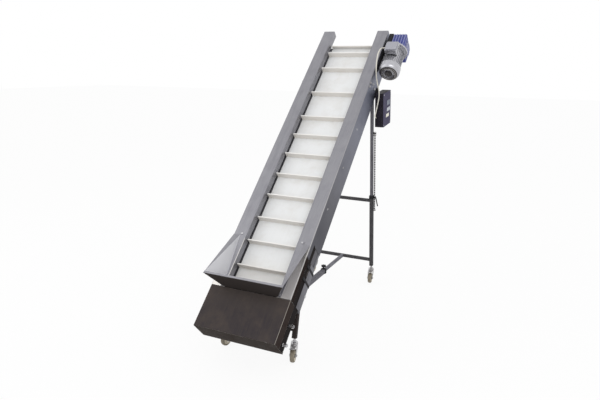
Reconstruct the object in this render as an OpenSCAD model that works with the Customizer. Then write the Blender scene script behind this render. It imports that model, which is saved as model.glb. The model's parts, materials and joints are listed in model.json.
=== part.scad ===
// Mobile incline conveyor: cleated belt between two folded rails, boot and feed hopper at the
// low end, worm gearmotor at the high end, on a telescopic stand with four castors.
// X runs across the belt (right +), Y runs back from the low end, Z is up from the floor.

/* [Incline] */
// Angle of the belt above the floor
incline_deg = 42.5; // [40:0.5:44]
// Length of the rails along the belt
rail_l = 2325; // [2280:5:2400]
// Height of the rails' lower front corner above the floor
corner_z = 238; // [235:1:250]

/* [Side frames] */
// Overall width over both side frames
body_w = 480; // [470:5:500]
// Width of each rail's flat top
rail_w = 80; // [76:1:84]
// Depth of the rail's inner wall
wall_d = 50; // [46:1:54]
// Depth of the outer side plate
side_d = 166; // [164:1:180]
// Thickness of the folded sheet
sheet_t = 2; // [1.5:0.5:2.5]
// Outer radius of the folds
fold_r = 4; // [3.5:0.5:6]
// Distance along the belt at which the deep side plate begins
deep_from = 600; // [560:5:640]

/* [Boot and hopper] */
// Length of the boot's cover along the belt
boot_l = 242; // [220:1:260]
// Depth of the boot's end face
boot_d = 133; // [125:1:140]
// Height of the hopper's front wall above the rails
hopper_h = 130; // [100:5:150]
// Length of the hopper along the belt
hopper_l = 325; // [300:5:340]

/* [Belt] */
// Depth of the belt's carrying face below the rail tops
belt_n = 63; // [61:1:65]
// Belt width
belt_w = 311; // [300:1:314]
// Belt thickness
belt_t = 3; // [2:0.5:4]
// Cleat height
cleat_h = 38; // [30:1:40]
// Cleat blade thickness
cleat_t = 6; // [4:1:8]
// Radius of both rollers
roller_r = 28; // [26:1:29]

/* [Stand] */
// Square tube of the rear posts' lower part and of the front legs
post_w = 25; // [24:1:28]
// Square tube that slides in the rear posts, of the crossbars and of the lower tubes
slim_w = 20; // [18:1:20]
// Square tube of the floor brace's outer part
brace_w = 30; // [30:1:32]
// Wheel diameter of the castors
wheel_d = 75; // [70:1:80]
// Height of the lower ends of the legs above the floor
leg_end_z = 124; // [122:1:130]

/* [Drive] */
// Motor frame diameter
motor_d = 130; // [120:1:138]
// Length of the motor's finned body
motor_l = 150; // [130:5:160]
// Height of the control box
ctrl_h = 228; // [210:2:250]
// Width of the control box's panel
ctrl_w = 172; // [160:1:180]
// Depth of the control box
ctrl_d = 58; // [50:1:60]

/* [Hidden] */
eps = 0.2;
seat_gap = 0.3;
half_w = body_w / 2;
clear_w = half_w - rail_w;

lip_d = 45;
strap_at = [330, 520];
tie_at = [deep_from + 60, deep_from + 480, deep_from + 900, deep_from + 1480];
flange_d = 70;

// Rollers and drive shaft, in the belt's own plane: l along the belt, n square to it.
roller_n = -belt_n - belt_t - roller_r;
tail_l = 140;
head_l = rail_l - 92;
run_l = head_l - tail_l;
belt_r = roller_r + belt_t;
shaft_r = 12.5;
drum_w = belt_w + 4;
cleat_foot = 12;
top_cleats = [102, 262, 422, 581, 746, 905, 1067, 1225, 1383, 1602, 1835, 1989];
low_cleats = [48, 208, 368, 528, 688, 848, 1008, 1168, 1328, 1488, 1648, 1808, 1968];
head_cleat_deg = 115;
tail_cleat_deg = 75;
tail_shaft_r = 8;
stud_l = 37;
stud_r = 5;

// A point (l, n) of the belt's plane, as [y, z] above the floor.
function level(l, n) = [l * cos(incline_deg) - n * sin(incline_deg),
    l * sin(incline_deg) + n * cos(incline_deg) + corner_z];

// Stand pivots and the lines of the legs, from above down.
tube_n = -side_d + slim_w / 2 + sheet_t;
pivot_back = 376;
rear_pivot_l = head_l - pivot_back;
rear_pivot = level(rear_pivot_l, -100);
front_pivot = level(340, tube_n);
rear_lean = atan(0.1256);
front_lean = atan(0.216);
rear_x = half_w - post_w / 2;
side_gap = 1;
front_x = half_w - sheet_t - slim_w - side_gap - post_w / 2;
brace_z = 170;
upper_bar_z = 634;
collar_z = 650;
collar_h = 22;
lever_l = 66;
tube_t = 1.5;
pin_r = 6;
pin_gap = 0.05;
rod_r = 5;
rod_x = rear_x + post_w / 2 + 9;
front_foot_y = front_pivot[0] - (front_pivot[1] - leg_end_z) * tan(front_lean);
rear_foot_y = rear_pivot[0] + (rear_pivot[1] - leg_end_z) * tan(rear_lean);
front_bar_y = front_pivot[0] - (front_pivot[1] - brace_z) * tan(front_lean);
rear_bar_y = rear_pivot[0] + (rear_pivot[1] - brace_z) * tan(rear_lean);
upper_bar_y = rear_pivot[0] + (rear_pivot[1] - upper_bar_z) * tan(rear_lean);
brace_mouth_y = 1205;

// Castors
trail = 33;
turn_fl = -12;
turn_fr = 14;
turn_rl = -18;
turn_rr = 8;
wheel_w = 24;
axle_r = 4;
fork_t = 2.5;
fork_top = 88;
stem_r = 6;
race_r = 20;
race_top = 102;

// Drive
worm_off = 45;
drive_gap = 82;
drive_x = half_w + drive_gap;
worm_n = roller_n + worm_off;
gear_l = 124;
gear_foot = 62;
gear_w = 76;
worm_r = 38;
plate_t = 8;
roller_web = 20;
rib_step = 30;
hub_r = 42;
hub_w = 104;
flange_r = 78;
flange_t = 12;
motor_l0 = head_l - gear_l / 2 - flange_t;
cowl_l = 62;
cowl_r = motor_d / 2 + 2;
fin_h = 9;
fin_t = 2.6;
fin_step = 12;
box_side = 84;
box_h = 46;
cable_r = 4;

// The row's origin lies below the middle of the box round the whole conveyor.
stud_out = 27;
shift_x = (half_w + stud_out - drive_x - flange_r) / 2;
shift_y = -(rail_l * cos(incline_deg) + side_d * sin(incline_deg)) / 2;

// Control box
ctrl_x = half_w + 7;
ctrl_y = rear_pivot[0] + 35;
ctrl_z = rear_pivot[1] - 255;

module placed() {
    translate([shift_x, shift_y, 0]) children();
}

module on_incline() {
    placed() translate([0, 0, corner_z]) rotate([incline_deg, 0, 0]) children();
}

// Extrudes an outline drawn in (l, n) across the belt, from x0 over a length w.
module across(x0, w) {
    translate([x0, 0, 0]) rotate([90, 0, 90]) linear_extrude(w) children();
}

// Extrudes an outline drawn in (x, n) along the belt, from l0 over a length l.
module along(l0, l) {
    translate([0, l0 + l, 0]) rotate([90, 0, 0]) linear_extrude(l) children();
}

module both_sides() {
    children();
    mirror([1, 0, 0]) children();
}

module round_rect(w, h, r) {
    translate([-w / 2 + r, -h / 2]) square([w - 2 * r, h]);
    translate([-w / 2, -h / 2 + r]) square([w, h - 2 * r]);
    for (x = [-1, 1], y = [-1, 1]) translate([x * (w / 2 - r), y * (h / 2 - r)]) circle(r = r, $fn = 32);
}

module square_tube(w, t, h) {
    linear_extrude(h) difference() {
        round_rect(w, w, t + 1);
        round_rect(w - 2 * t, w - 2 * t, 1);
    }
}

// A quarter of a folded sheet's corner, its centre at (x, n), turned by a.
module fold(x, n, a) {
    translate([x, n]) rotate(a) intersection() {
        difference() {
            circle(r = fold_r, $fn = 32);
            circle(r = fold_r - sheet_t, $fn = 32);
        }
        square(fold_r);
    }
}

module hex_bolt(r, h) {
    cylinder(r = r, h = h, $fn = 6);
}

module rail_section(deep, lip) {
    wall_x = half_w - fold_r;
    translate([clear_w + fold_r, -sheet_t]) square([rail_w - 2 * fold_r, sheet_t]);
    fold(wall_x, -fold_r, 0);
    fold(clear_w + fold_r, -fold_r, 90);
    translate([clear_w, -wall_d + fold_r]) square([sheet_t, wall_d - 2 * fold_r]);
    fold(clear_w + fold_r, -wall_d + fold_r, 180);
    translate([clear_w + fold_r, -wall_d]) square([14, sheet_t]);
    translate([half_w - sheet_t, -deep + lip * fold_r]) square([sheet_t, deep - (1 + lip) * fold_r]);
    if (lip == 1) {
        fold(wall_x, -deep + fold_r, 270);
        translate([half_w - 22, -deep]) square([22 - fold_r, sheet_t]);
    }
}

module rails() {
    notch_l = rear_pivot_l - 95;
    color("silver") difference() {
        on_incline() both_sides() {
            along(boot_l + 2, deep_from - boot_l - 2) rail_section(lip_d, 0);
            along(deep_from, rail_l - deep_from) rail_section(side_d, 1);
        }
        on_incline() {
            translate([-half_w - 1, head_l, roller_n]) rotate([0, 90, 0])
                cylinder(r = shaft_r + 1, h = body_w + 2, $fn = 48);
            translate([-half_w + sheet_t, notch_l, -side_d - 1])
                cube([body_w - 2 * sheet_t, 100, sheet_t + fold_r]);
        }
        placed() translate([-half_w - 1, rear_pivot[0], rear_pivot[1]]) rotate([0, 90, 0])
            cylinder(r = pin_r + pin_gap, h = body_w + 2, $fn = 48);
    }
}

module boot_sides() {
    color("dimgray") on_incline() both_sides()
        across(half_w - 2 * sheet_t - eps, sheet_t) difference() {
            polygon([[sheet_t + eps, -fold_r], [deep_from - 2, -fold_r], [deep_from - 2, -85],
                [430, -85], [430, -boot_d], [18, -boot_d], [18, -boot_d + 6],
                [sheet_t + eps, -boot_d + 6]]);
            translate([tail_l, roller_n]) circle(r = tail_shaft_r + pin_gap, $fn = 48);
            translate([stud_l, roller_n]) circle(r = stud_r + pin_gap, $fn = 48);
        }
}

module boot_cover() {
    color("dimgray") on_incline() {
        along(sheet_t, boot_l - sheet_t) {
            translate([-half_w + fold_r, -sheet_t]) square([body_w - 2 * fold_r, sheet_t]);
            both_sides() {
                fold(half_w - fold_r, -fold_r, 0);
                translate([half_w - sheet_t, -flange_d]) square([sheet_t, flange_d - fold_r]);
            }
        }
        along(0, sheet_t) {
            translate([-half_w + fold_r, -boot_d]) square([body_w - 2 * fold_r, boot_d]);
            translate([-half_w, -boot_d]) square([body_w, boot_d - fold_r]);
            both_sides() translate([half_w - fold_r, -fold_r]) circle(r = fold_r, $fn = 32);
        }
        translate([-half_w + sheet_t, sheet_t - eps, -boot_d]) cube([body_w - 2 * sheet_t, 14, sheet_t]);
    }
}

// One thin triangular sheet, its three corners given in order round the face that shows.
module sheet_facet(a, b, c, t) {
    u = b - a;
    v = c - a;
    n = cross(u, v) / norm(cross(u, v)) * t;
    polyhedron(points = [a, b, c, a - n, b - n, c - n],
        faces = [[0, 2, 1], [3, 4, 5], [0, 1, 4, 3], [1, 2, 5, 4], [2, 0, 3, 5]]);
}

module hopper() {
    top_x = half_w - 8;
    l0 = boot_l + 3;
    end_l = l0 + hopper_l;
    foot_x = clear_w + 37;
    color("gray") on_incline() {
        translate([0, l0 + sheet_t, 0]) rotate([90, 0, 0]) linear_extrude(sheet_t)
            polygon([[-clear_w + 3, -18], [clear_w - 3, -18], [clear_w - 3, seat_gap],
                [clear_w + 5, seat_gap], [top_x, hopper_h], [-top_x, hopper_h],
                [-clear_w - 5, seat_gap], [-clear_w + 3, seat_gap]]);
        translate([-top_x + 1, l0 + eps, hopper_h - 1.5]) cube([2 * top_x - 2, 12, 1.5]);
        both_sides() {
            sheet_facet([clear_w + 5, l0 + eps, sheet_t], [top_x, l0 + eps, hopper_h],
                [foot_x, end_l, sheet_t], sheet_t);
            sheet_facet([top_x, l0 + eps, hopper_h], [half_w - 2, end_l, sheet_t + seat_gap],
                [foot_x, end_l, sheet_t], sheet_t);
            translate([0, 0, seat_gap]) linear_extrude(sheet_t)
                polygon([[clear_w + 2, l0], [clear_w + 22, l0], [foot_x, end_l - 4],
                    [foot_x + 4, end_l + 16], [clear_w + 2, end_l + 10]]);
        }
    }
}

module belt_bed() {
    bed_l = head_l - tail_l - 120;
    bed_x = half_w - 2 * sheet_t - eps;
    color("silver") on_incline()
        translate([-bed_x, tail_l + 60, -belt_n - belt_t - eps - sheet_t])
            cube([2 * bed_x, bed_l, sheet_t]);
}

module cross_ties() {
    top_n = -belt_n - belt_t - eps - sheet_t;
    color("gray") on_incline()
        for (l = tie_at)
            translate([-half_w + sheet_t, l, top_n - slim_w])
                cube([body_w - 2 * sheet_t, slim_w, slim_w]);
}

module lower_tubes() {
    color("gray") difference() {
        on_incline() both_sides()
            translate([half_w - slim_w / 2 - sheet_t, boot_l - 2, tube_n])
                rotate([-90, 0, 0]) square_tube(slim_w, tube_t, 620);
        placed() translate([-half_w - 1, front_pivot[0], front_pivot[1]]) rotate([0, 90, 0])
            cylinder(r = pin_r + pin_gap, h = body_w + 2, $fn = 48);
    }
}

module tube_straps() {
    color("black") on_incline() both_sides()
        for (l = strap_at)
            translate([half_w - 2 * sheet_t - eps - 3, l, -side_d + slim_w + sheet_t])
                cube([3, 16, 70]);
}

// The belt is one fixed loop; the cleats stand in its outline.
module cleat() {
    translate([-cleat_foot / 2, -1]) square([cleat_foot, 4]);
    translate([-cleat_t / 2, 0]) square([cleat_t, cleat_h]);
}

module loop_outline(r) {
    translate([tail_l, roller_n]) circle(r = r, $fn = 96);
    translate([head_l, roller_n]) circle(r = r, $fn = 96);
    translate([tail_l, roller_n - r]) square([run_l, 2 * r]);
}

module belt() {
    color("white") on_incline() across(-belt_w / 2, belt_w) difference() {
        union() {
            loop_outline(belt_r);
            for (s = top_cleats) translate([tail_l + s, roller_n + belt_r]) cleat();
            for (s = low_cleats) translate([tail_l + s, roller_n - belt_r]) rotate(180) cleat();
            translate([head_l, roller_n]) rotate(-90 + head_cleat_deg)
                translate([0, belt_r]) cleat();
            translate([tail_l, roller_n]) rotate(tail_cleat_deg)
                translate([0, belt_r]) cleat();
        }
        loop_outline(roller_r + eps);
    }
}

module head_drum() {
    color("silver") on_incline() translate([0, head_l, roller_n]) rotate([0, 90, 0]) {
        translate([0, 0, -drum_w / 2]) cylinder(r = roller_r, h = drum_w, $fn = 64);
        translate([0, 0, -half_w - 20]) cylinder(r = shaft_r, h = half_w + 20, $fn = 48);
        cylinder(r = shaft_r, h = drive_x + hub_w / 2 + 4, $fn = 48);
    }
}

module tail_drum() {
    color("silver") on_incline() translate([0, tail_l, roller_n]) rotate([0, 90, 0]) {
        translate([0, 0, -drum_w / 2]) cylinder(r = roller_r, h = drum_w, $fn = 64);
        translate([0, 0, -half_w - 4]) cylinder(r = tail_shaft_r, h = body_w + 8, $fn = 48);
        translate([0, 0, -half_w - stud_out]) cylinder(r = stud_r, h = body_w + 2 * stud_out, $fn = 48);
    }
}

module head_bearings() {
    color("gray") on_incline() both_sides()
        translate([half_w - sheet_t - 22, head_l, roller_n]) rotate([0, 90, 0]) difference() {
            union() {
                cylinder(r = 30, h = 22, $fn = 64);
                translate([0, 0, 6]) cylinder(r = 36, h = 10, $fn = 64);
                translate([0, 0, 12]) linear_extrude(10) round_rect(90, 90, 12);
            }
            translate([0, 0, -1]) cylinder(r = shaft_r + pin_gap, h = 24, $fn = 48);
            for (y = [-34, 34], z = [-34, 34]) translate([y, z, 11]) cylinder(r = 4.5, h = 12, $fn = 32);
        }
}

module take_up_studs() {
    inside = -2 * sheet_t - eps;
    color("silver") on_incline() both_sides() for (l = [stud_l, tail_l])
        translate([half_w, l, roller_n]) rotate([0, 90, 0]) {
            if (l == stud_l) {
                translate([0, 0, inside - 6]) cylinder(r = stud_r, h = stud_out - inside + 6, $fn = 48);
                translate([0, 0, inside - 6]) hex_bolt(9, 6);
                translate([0, 0, 12]) hex_bolt(10, 11);
                translate([0, 0, eps]) cylinder(r = 9, h = 1.5, $fn = 48);
            }
            else difference() {
                union() {
                    translate([0, 0, 12]) hex_bolt(10, 11);
                    translate([0, 0, 4 + eps]) cylinder(r = 9, h = 8, $fn = 48);
                }
                cylinder(r = stud_r + pin_gap, h = stud_out, $fn = 48);
            }
        }
}

// Pins on which the rear posts and the front legs swing.
module stand_pivots() {
    rear_in = rear_x - slim_w / 2 - 2;
    front_in = front_x - post_w / 2 - 2;
    color("silver") placed() both_sides() {
        translate([rear_in - 6, rear_pivot[0], rear_pivot[1]]) rotate([0, 90, 0]) {
            cylinder(r = pin_r, h = half_w - rear_in + 6, $fn = 48);
            hex_bolt(10, 6);
            translate([0, 0, half_w - rear_in + 6]) hex_bolt(10, 6);
        }
        translate([front_in - 6, front_pivot[0], front_pivot[1]]) rotate([0, 90, 0]) {
            cylinder(r = pin_r, h = half_w - front_in + 4, $fn = 48);
            hex_bolt(10, 6);
            translate([0, 0, half_w - front_in + 4]) hex_bolt(10, 5);
        }
    }
}

module gearbox() {
    web_n = worm_off - roller_web;
    color("royalblue") on_incline() translate([drive_x, head_l, roller_n]) difference() {
        union() {
            across(-gear_w / 2, gear_w) union() {
                circle(r = gear_l / 2, $fn = 96);
                translate([-gear_l / 2, 0]) square([gear_l, web_n]);
                translate([-gear_l / 2 + 8, -gear_foot]) square([gear_l - 16, gear_foot]);
            }
            across(-gear_w / 2 + 8, gear_w - 16)
                translate([0, worm_off]) round_rect(gear_l - 4, 2 * worm_r, 16);
            translate([-hub_w / 2, 0, 0]) rotate([0, 90, 0]) cylinder(r = hub_r, h = hub_w, $fn = 64);
            translate([0, gear_l / 2 + 8, worm_off]) rotate([90, 0, 0])
                cylinder(r = worm_r - 6, h = gear_l + 8, $fn = 64);
            both_sides() for (a = [0:rib_step:359]) translate([gear_w / 2 - 1, 0, 0]) rotate([a, 0, 0])
                translate([0, hub_r - 1, -2]) cube([6, gear_l / 2 - hub_r - 2, 4]);
            both_sides() for (l = [-gear_l / 2 + 12, gear_l / 2 - 12])
                translate([gear_w / 2 - 10, l, -gear_foot]) cylinder(r = 9, h = gear_foot, $fn = 32);
            for (l = [-gear_l / 2 + 14:13:gear_l / 2 - 12])
                translate([-gear_w / 2 + 14, l - 2, worm_off]) cube([gear_w - 28, 4, worm_r + 5]);
        }
        translate([-hub_w / 2 - 1, 0, 0]) rotate([0, 90, 0])
            cylinder(r = shaft_r + pin_gap, h = hub_w + 2, $fn = 48);
    }
}

module torque_arm() {
    spacer = 6;
    face_x = drive_x - gear_w / 2 - spacer;
    color("black") on_incline() {
        difference() {
            across(face_x - plate_t, plate_t) translate([head_l + 6, roller_n + 12])
                round_rect(gear_l - 14, 128, 14);
            translate([face_x - plate_t - 1, head_l, roller_n]) rotate([0, 90, 0])
                cylinder(r = hub_r + 1, h = plate_t + 2, $fn = 64);
        }
        across(half_w + seat_gap, face_x - half_w - plate_t)
            translate([head_l + 30, roller_n + 58]) round_rect(44, 30, 5);
        for (n = [-40, 62]) translate([face_x - eps, head_l - 34, roller_n + n]) rotate([0, 90, 0])
            cylinder(r = 6, h = spacer, $fn = 32);
    }
}

module motor() {
    color("silver") on_incline() translate([drive_x, motor_l0, worm_n]) rotate([-90, 0, 0]) {
        cylinder(r = flange_r, h = flange_t, $fn = 96);
        translate([0, 0, -14]) cylinder(r = motor_d / 2, h = 14 + eps, $fn = 96);
        translate([0, 0, -motor_l]) linear_extrude(motor_l) {
            circle(r = motor_d / 2 - fin_h, $fn = 96);
            for (a = [0:fin_step:359]) rotate(a)
                translate([-fin_t / 2, motor_d / 2 - fin_h - 2]) square([fin_t, fin_h + 1.5]);
        }
        for (a = [45:90:359]) rotate(a) translate([flange_r - 14, 0, -9]) {
            cylinder(r = 7, h = 9 + eps, $fn = 32);
        }
    }
}

module fan_cowl() {
    round_r = 16;
    color("silver") on_incline() translate([drive_x, motor_l0 - motor_l - cowl_l, worm_n]) rotate([-90, 0, 0])
        difference() {
            rotate_extrude($fn = 96) {
                translate([0, round_r]) square([cowl_r, cowl_l - round_r - seat_gap]);
                square([cowl_r - round_r, cowl_l / 2]);
                translate([cowl_r - round_r, round_r]) circle(r = round_r, $fn = 48);
            }
            for (r = [14, 24, 34, 44]) translate([0, 0, -1]) difference() {
                cylinder(r = r + 3, h = 4, $fn = 64);
                cylinder(r = r - 3, h = 4, $fn = 64);
                for (a = [45, 135]) rotate(a) translate([-60, -4, 0]) cube([120, 8, 4]);
            }
        }
}

module terminal_box() {
    top_n = worm_n + motor_d / 2 - 22 + box_h + 16;
    mid_l = motor_l0 - 52;
    color("silver") on_incline() difference() {
        union() {
            translate([drive_x, mid_l, top_n - box_h - 16]) linear_extrude(30)
                round_rect(box_side - 10, box_side - 10, 8);
            translate([drive_x, mid_l, top_n - box_h + 14]) linear_extrude(8)
                round_rect(box_side, box_side, 10);
            translate([drive_x, mid_l, top_n - box_h + 24]) linear_extrude(box_h - 30)
                round_rect(box_side, box_side, 10);
            translate([drive_x, mid_l, top_n - box_h + 20]) linear_extrude(5)
                round_rect(box_side - 5, box_side - 5, 8);
            translate([drive_x, mid_l, top_n - 7]) linear_extrude(7)
                round_rect(box_side - 10, box_side - 10, 8);
        }
        translate([drive_x, motor_l0 - 120, worm_n]) rotate([-90, 0, 0])
            cylinder(r = motor_d / 2 + eps, h = 130, $fn = 96);
    }
}

// The motor cable hangs in one smooth curve through its points, from the terminal box's gland
// to the gland on the control box's front.
gland_h = 8;
gland_x = drive_x - box_side / 2 - gland_h;
gland_at = level(motor_l0 - 38, worm_n + 72);
cable_path = concat([for (d = [seat_gap, 4, 8]) [gland_x - d, gland_at[0], gland_at[1]]],
    [for (p = [[253, 109, 268], [249, 93, 265], [248, 68, 256], [248, 23, 222], [248, 1, 152],
        [250, 2, 92], [262, -7, 42], [276, -11, -3], [279, -9, -43], [272, -3, -88],
        [262, 3, -133], [255, 4, -168], [254, 9, -186], [254, 16, -190], [254, 20, -190],
        [254, 24, -190]])
        [half_w - 240 + p[0], rear_pivot[0] + p[1], rear_pivot[1] + p[2]]]);
cable_steps = 5;
cable_sides = 10;
cable_ref = [1, -1, 0.3];

function cable_at(i) = cable_path[max(0, min(len(cable_path) - 1, i))];

function curve(a, b, c, d, t) = 0.5 * ((2 * b) + (c - a) * t + (2 * a - 5 * b + 4 * c - d) * t * t
    + (3 * b - a - 3 * c + d) * t * t * t);

function unit(v) = v / norm(v);

module swept_tube(ring_at, r, sides) {
    count = len(ring_at);
    ring = [for (i = [0:count - 1]) let (
            t = unit(ring_at[min(i + 1, count - 1)] - ring_at[max(i - 1, 0)]),
            u = unit(cross(t, cable_ref)),
            v = cross(t, u))
        for (k = [0:sides - 1]) ring_at[i] + r * (u * cos(360 * k / sides) + v * sin(360 * k / sides))];
    polyhedron(points = ring, faces = concat(
        [[for (k = [0:sides - 1]) k]],
        [[for (k = [0:sides - 1]) (count - 1) * sides + sides - 1 - k]],
        [for (i = [0:count - 2]) for (k = [0:sides - 1]) [i * sides + k, (i + 1) * sides + k,
            (i + 1) * sides + (k + 1) % sides, i * sides + (k + 1) % sides]]));
}

module motor_cable() {
    last = len(cable_path) - 1;
    points = concat([for (i = [0:last - 1]) for (k = [0:cable_steps - 1])
        curve(cable_at(i - 1), cable_at(i), cable_at(i + 1), cable_at(i + 2), k / cable_steps)],
        [cable_path[last]]);
    color("ivory") placed() swept_tube(points, cable_r, cable_sides);
}

module cable_glands() {
    last = cable_path[len(cable_path) - 1];
    color("black") placed() {
        translate([gland_x, cable_path[0][1], cable_path[0][2]]) rotate([0, 90, 0])
            cylinder(r = gland_h, h = gland_h - eps, $fn = 48);
        difference() {
            translate([last[0], last[1] + seat_gap, last[2]]) rotate([-90, 0, 0])
                cylinder(r = gland_h, h = 2 * gland_h, $fn = 48);
            translate([-shift_x, -shift_y, 0]) control_pose() translate([-1, -eps, 0])
                cube([ctrl_d, 3 * gland_h, ctrl_h]);
        }
    }
}

module control_pose() {
    placed() translate([ctrl_x, ctrl_y, ctrl_z]) rotate([rear_lean, 0, 0]) children();
}

module control_box() {
    door_t = 9;
    color("dimgray") control_pose() translate([0, ctrl_w / 2, ctrl_h / 2]) rotate([90, 0, 90]) {
        linear_extrude(ctrl_d - door_t - 2) round_rect(ctrl_w, ctrl_h, 5);
        translate([0, 0, ctrl_d - door_t - 3]) linear_extrude(4)
            round_rect(ctrl_w - 8, ctrl_h - 8, 4);
        translate([0, 0, ctrl_d - door_t]) linear_extrude(door_t) round_rect(ctrl_w, ctrl_h, 6);
        for (z = [-ctrl_h / 2 + 40, ctrl_h / 2 - 40]) translate([ctrl_w / 2 + 1, z - 14, ctrl_d - 12])
            rotate([-90, 0, 0]) cylinder(r = 4, h = 28, $fn = 32);
    }
}

module control_keys() {
    face = ctrl_d + eps;
    color("silver") control_pose() {
        translate([face, 78, 0.60 * ctrl_h]) cube([2, 70, 32]);
        for (y = [80, 104, 128]) translate([face, y, 0.42 * ctrl_h])
            rotate([90, 0, 90]) translate([9, 12]) linear_extrude(3) round_rect(18, 24, 3);
        translate([face, 62, 0.25 * ctrl_h]) cube([1, 66, 22]);
    }
}

module control_bracket() {
    reach = ctrl_x - half_w - 2 * eps;
    color("black") control_pose() {
        translate([half_w - ctrl_x + eps, 30, 0.62 * ctrl_h]) cube([reach, 90, 40]);
        translate([half_w - ctrl_x + eps, 50, 0.95 * ctrl_h]) cube([reach, 24, 40]);
        translate([half_w - ctrl_x + eps, 30, 0.60 * ctrl_h]) cube([3, 30, 0.4 * ctrl_h + 20]);
    }
}

// A crossbar between two leaning tubes at x and -x, at a distance d down their lines.
module crossbar(x, d, g = 0) {
    translate([-x + post_w / 2, 0, -d]) rotate([0, 90, 0])
        linear_extrude(2 * x - post_w) round_rect(slim_w + 2 * g, slim_w + 2 * g, 2.5);
}

module leg_plug(x, d) {
    translate([x - post_w / 2 + 1, -post_w / 2 + 1, -d]) cube([post_w - 2, post_w - 2, 14]);
}

// A castor's threaded stem, with its lock nut above the fork.
module stem() {
    translate([0, 0, race_top - 6]) cylinder(r = stem_r, h = leg_end_z - race_top + 16, $fn = 32);
    translate([0, 0, race_top + 4]) hex_bolt(10, 6);
}

// The hole that a castor's stem takes in the plug of its leg.
module stem_hole(x, y) {
    placed() both_sides() translate([x, y, leg_end_z - 6])
        cylinder(r = stem_r + pin_gap, h = 18, $fn = 32);
}

module rear_stems() {
    color("silver") placed() both_sides() translate([rear_x, rear_foot_y, 0]) stem();
}

module front_stems() {
    color("silver") placed() both_sides() translate([front_x, front_foot_y, 0]) stem();
}

// Inner tubes hang from the pivots on their own lean.
module rear_pose() {
    placed() translate([0, rear_pivot[0], rear_pivot[1]]) rotate([rear_lean, 0, 0]) children();
}

module inner_posts() {
    down = 860;
    color("dimgray") rear_pose() both_sides() difference() {
        translate([rear_x, 0, -down]) square_tube(slim_w, tube_t, down + 14);
        translate([rear_x - slim_w, 0, 0]) rotate([0, 90, 0])
            cylinder(r = pin_r + pin_gap, h = 2 * slim_w, $fn = 48);
    }
}

module stay_rod() {
    top = (rear_pivot[1] - 1125) / cos(rear_lean);
    low = (rear_pivot[1] - 560) / cos(rear_lean);
    arm = rod_x - rear_x - slim_w / 2;
    color("gray") rear_pose() {
        translate([rod_x, 0, -low]) cylinder(r = rod_r, h = low - top, $fn = 32);
        translate([rear_x + slim_w / 2, -7, -top - 12]) cube([arm, 14, 12]);
        translate([rod_x, 0, -top - 18]) cylinder(r = 9, h = 24, $fn = 32);
        translate([rod_x, 0, -low + 2]) hex_bolt(9, 8);
    }
}

module rear_frame() {
    low = (rear_pivot[1] - leg_end_z) / cos(rear_lean);
    high = (rear_pivot[1] - collar_z) / cos(rear_lean);
    bar_low = (rear_pivot[1] - brace_z) / cos(rear_lean);
    bar_high = (rear_pivot[1] - upper_bar_z) / cos(rear_lean);
    color("dimgray") difference() {
        rear_pose() {
            both_sides() translate([rear_x, 0, -low]) square_tube(post_w, tube_t, low - high);
            for (d = [bar_low, bar_high]) crossbar(rear_x, d);
            both_sides() leg_plug(rear_x, low);
        }
        stem_hole(rear_x, rear_foot_y);
    }
}

module post_collars() {
    high = (rear_pivot[1] - collar_z) / cos(rear_lean);
    side = rear_x + post_w / 2 + 3;
    color("black") rear_pose() {
        both_sides() translate([rear_x, 0, -high + eps]) linear_extrude(collar_h) difference() {
            round_rect(post_w + 6, post_w + 6, 4);
            square(slim_w + 1, center = true);
        }
        translate([rod_x, 0, -high + 5]) linear_extrude(12) difference() {
            union() {
                circle(r = rod_r + 5, $fn = 48);
                translate([side - rod_x - 1, -8]) square([rod_x - side + 1, 16]);
            }
            circle(r = rod_r + 0.5, $fn = 32);
        }
        translate([rod_x + rod_r + 6.5, -4, -high + 12]) rotate([0, 168, 0]) cube([5, 8, lever_l]);
    }
}

module brace_inner() {
    color("gray") difference() {
        placed() translate([0, rear_bar_y, brace_z]) rotate([90, 0, 0])
            square_tube(slim_w, tube_t, rear_bar_y - 760);
        rear_pose() crossbar(rear_x, (rear_pivot[1] - brace_z) / cos(rear_lean), eps);
    }
}

module front_pose() {
    placed() translate([0, front_pivot[0], front_pivot[1]]) rotate([-front_lean, 0, 0]) children();
}

module front_frame() {
    length = (front_pivot[1] - leg_end_z) / cos(front_lean);
    bar = (front_pivot[1] - brace_z) / cos(front_lean);
    color("dimgray") difference() {
        front_pose() {
            both_sides() difference() {
                translate([front_x, 0, -length]) square_tube(post_w, tube_t, length + 16);
                translate([front_x - post_w, 0, 0]) rotate([0, 90, 0])
                    cylinder(r = pin_r + pin_gap, h = 2 * post_w, $fn = 48);
            }
            crossbar(front_x, bar);
            both_sides() leg_plug(front_x, length);
        }
        stem_hole(front_x, front_foot_y);
    }
}

module brace_outer() {
    color("gray") difference() {
        placed() translate([0, brace_mouth_y, brace_z]) rotate([90, 0, 0])
            square_tube(brace_w, 2, brace_mouth_y - front_bar_y);
        front_pose() translate([0, -2, 0])
            crossbar(front_x, (front_pivot[1] - brace_z) / cos(front_lean), eps + 2);
    }
}

module brace_knob() {
    wall = brace_w / 2 + 3;
    color("black") placed() {
        translate([0, brace_mouth_y + 20, brace_z]) rotate([90, 0, 0]) linear_extrude(20 - eps)
            difference() {
                round_rect(2 * wall, 2 * wall, 4);
                square(slim_w + 6, center = true);
            }
        translate([0, brace_mouth_y + 10, brace_z + wall - 1]) {
            cylinder(r = 5, h = 17, $fn = 32);
            translate([0, 0, 14]) linear_extrude(11) {
                circle(r = 12, $fn = 48);
                for (a = [0:60:359]) rotate(a) translate([12, 0]) circle(r = 5, $fn = 32);
            }
        }
    }
}

// Castors: x and y of the swivel axis; the wheel trails towards -Y, turned by its own angle.
module castor_at(x, y, turn) {
    placed() translate([x, y, 0]) rotate([0, 0, turn]) children();
}

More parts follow.
